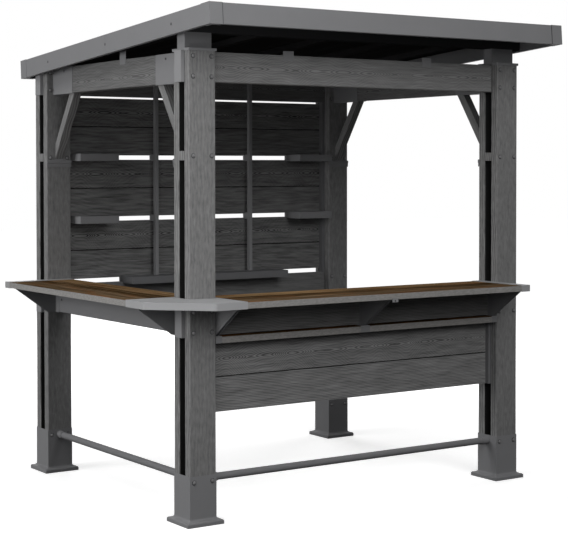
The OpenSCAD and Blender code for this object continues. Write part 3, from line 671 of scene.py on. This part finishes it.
def middle_height(node, x, y, out):
    """Height halfway up the face of a node, found by level rays from the side."""
    low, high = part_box(node)
    steps = 200
    away, reach = 0.2, 0.25
    heights = []
    for step in range(steps):
        z = low.z + (high.z - low.z) * (step + 0.5) / steps
        start = Vector((x + away * out, y, z))
        if nodes[node].ray_cast(start, Vector((-out, 0, 0)), distance=reach)[0]:
            heights.append(z)
    return (heights[0] + heights[-1]) / 2


FASCIA_IN = 0.301         # from the ends of a side fascia
HANGER_IN = 0.137         # from the inner face of a post
HANGER_DOWN = 0.024       # below the top of the side beams
APRON_IN = 0.095          # from the inner face of a post


def side_screws(material):
    """Screws in the side fascias, the beam hangers and the rail hangers."""
    head = domed_head(diameter=0.012, height=0.004)
    flat_head = domed_head(diameter=0.013, height=0.0014)
    copies = []
    low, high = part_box("side_fascia")
    for x, out in ((low.x, -1), (high.x, 1)):
        for y in (low.y + FASCIA_IN, (low.y + high.y) / 2, high.y - FASCIA_IN):
            place = (x, y, middle_height("side_fascia", x, y, out))
            copies.append((flat_head, facing(place, (out, 0, 0))))
    front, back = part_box("front_left_post")[1].y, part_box("back_left_post")[0].y
    low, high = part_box("beam_hangers")
    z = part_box("left_beam")[1].z - HANGER_DOWN
    for x, out in ((low.x, -1), (high.x, 1)):
        for y in (front + HANGER_IN, back - HANGER_IN):
            copies.append((head, facing((x, y, z), (out, 0, 0))))
    z = middle("left_rail").z
    for y in (front + APRON_IN, back - APRON_IN):
        copies.append((head, facing((low.x, y, z), (-1, 0, 0))))
    joined("side_screws", copies, material)


def ledge_band(material):
    """Grey edge band on the front of the narrow ledge, below a thin line of brown."""
    thickness, brown_line, half_joint = 0.001, 0.004, 0.028
    low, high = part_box("front_ledge")
    centre_x = (low.x + high.x) / 2
    height = high.z - low.z - brown_line
    shape = bmesh.new()
    for x0, x1 in ((low.x, centre_x - half_joint), (centre_x + half_joint, high.x)):
        at = Matrix.Translation(((x0 + x1) / 2, low.y - thickness / 2, low.z + height / 2))
        size = Matrix.Diagonal((x1 - x0, thickness, height, 1))
        bmesh.ops.create_cube(shape, size=1.0, matrix=at @ size)
    finish_piece("ledge_edge_band", shape, material)


# ---------------------------------------------------------------- lights and floor
# Name, azimuth from the front towards the left and height in degrees, side in metres,
# power in watts, distance in metres
SOFTBOXES = (
    ("left_softbox", 95, 6, 2.6, 222, 8.0),
    ("raised_left_softbox", 100, 15, 2.6, 35, 8.0),
    ("high_left_softbox", 110, 40, 3.0, 138, 8.0),
    ("high_corner_softbox", 50, 50, 1.5, 14, 4.0),
    ("corner_softbox", 57, 15, 1.5, 7, 3.5),
    ("low_corner_softbox", 45, 5, 1.0, 8, 3.0),
    ("low_near_softbox", 15, 17, 2.0, 23, 6.0),
    ("near_softbox", 20, 30, 2.0, 20, 4.5),
    ("low_front_softbox", 0, 20, 3.0, 43, 8.0),
    ("front_softbox", 0, 30, 3.0, 102, 8.0),
    ("high_front_softbox", 0, 45, 3.0, 60, 7.0),
    ("back_softbox", 195, 20, 4.0, 230, 8.0),
    ("right_softbox", 250, 20, 4.0, 150, 8.0),
)
AIM = Vector((0, 0, 1.2))
AMBIENT = 0.02
WHITE = (1, 1, 1, 1)


def softbox(name, azimuth, height, side, power, distance):
    """Square lamp aimed at the middle."""
    turn, tilt = math.radians(azimuth), math.radians(height)
    away = Vector((-math.sin(turn) * math.cos(tilt), -math.cos(turn) * math.cos(tilt),
                   math.sin(tilt)))
    data = bpy.data.lights.new(name, "AREA")
    data.shape = "SQUARE"
    data.size = side
    data.energy = power
    light = bpy.data.objects.new(name, data)
    bpy.context.scene.collection.objects.link(light)
    light.location = AIM + away * distance
    light.rotation_euler = (-away).to_track_quat("-Z", "Y").to_euler()


def seen_directly(tree):
    """1 for what the camera, a reflection or a clear pane shows, 0 for light on things."""
    path = put(tree, "ShaderNodeLightPath").outputs
    seen = calc(tree, "MAXIMUM", path["Is Camera Ray"], path["Is Glossy Ray"])
    return calc(tree, "MAXIMUM", seen, path["Is Transmission Ray"])


def place_lights():
    for row in SOFTBOXES:
        softbox(*row)
    world = bpy.data.worlds.new("studio")
    bpy.context.scene.world = world
    world.use_nodes = True
    tree = world.node_tree
    background = tree.nodes["Background"].inputs
    level = calc(tree, "MAXIMUM", seen_directly(tree), AMBIENT)
    tree.links.new(level, background["Strength"])
    background["Color"].default_value = WHITE


def place_floor():
    """Pale floor that shows white and keeps the shadow, and sends little light back up."""
    unseen_grey, seen_grey = (0.04, 0.04, 0.04), (0.82, 0.82, 0.82)
    near_glow, far_glow = 0.55, 1.0
    glow_from, glow_to = 1.6, 4.5
    shape = bmesh.new()
    bmesh.ops.create_grid(shape, x_segments=1, y_segments=1, size=30)
    mesh = bpy.data.meshes.new("floor")
    shape.to_mesh(mesh)
    shape.free()
    floor = bpy.data.objects.new("floor", mesh)
    bpy.context.scene.collection.objects.link(floor)
    material, tree, shader = new_material("pale_floor", roughness=0.9, specular=0.0)
    seen = seen_directly(tree)
    colour = tint(tree, seen, unseen_grey, seen_grey)
    tree.links.new(colour, shader.inputs["Base Color"])
    shader.inputs["Emission Color"].default_value = WHITE
    x, y, _ = object_place(tree)
    square = calc(tree, "MULTIPLY_ADD", x, x, calc(tree, "MULTIPLY", y, y))
    reach = clamp(tree, calc(tree, "SQRT", square), glow_from, glow_to)
    glow = calc(tree, "MULTIPLY_ADD", reach, far_glow - near_glow, near_glow)
    tree.links.new(calc(tree, "MULTIPLY", seen, glow), shader.inputs["Emission Strength"])
    mesh.materials.append(material)


place_camera()
edge_band = lined_edging("edge_band")
finish_grained_nodes()
finish_smooth_nodes()
finish_counter(edge_band)
bolt_paint = coated("bolt_paint", BOLT, roughness=0.5, specular=0.15)
# The washers' near black is painted shade around the bolt heads.
bolt_posts(bolt_paint, coated("dark_washer_painted_shade", WASHER_PAINTED_SHADE, roughness=0.8, specular=0.0))
side_screws(coated("screw_paint", SCREW, roughness=0.5, specular=0.2))
ledge_band(edge_band)
place_lights()
place_floor()

bpy.context.scene.view_settings.view_transform = "Standard"
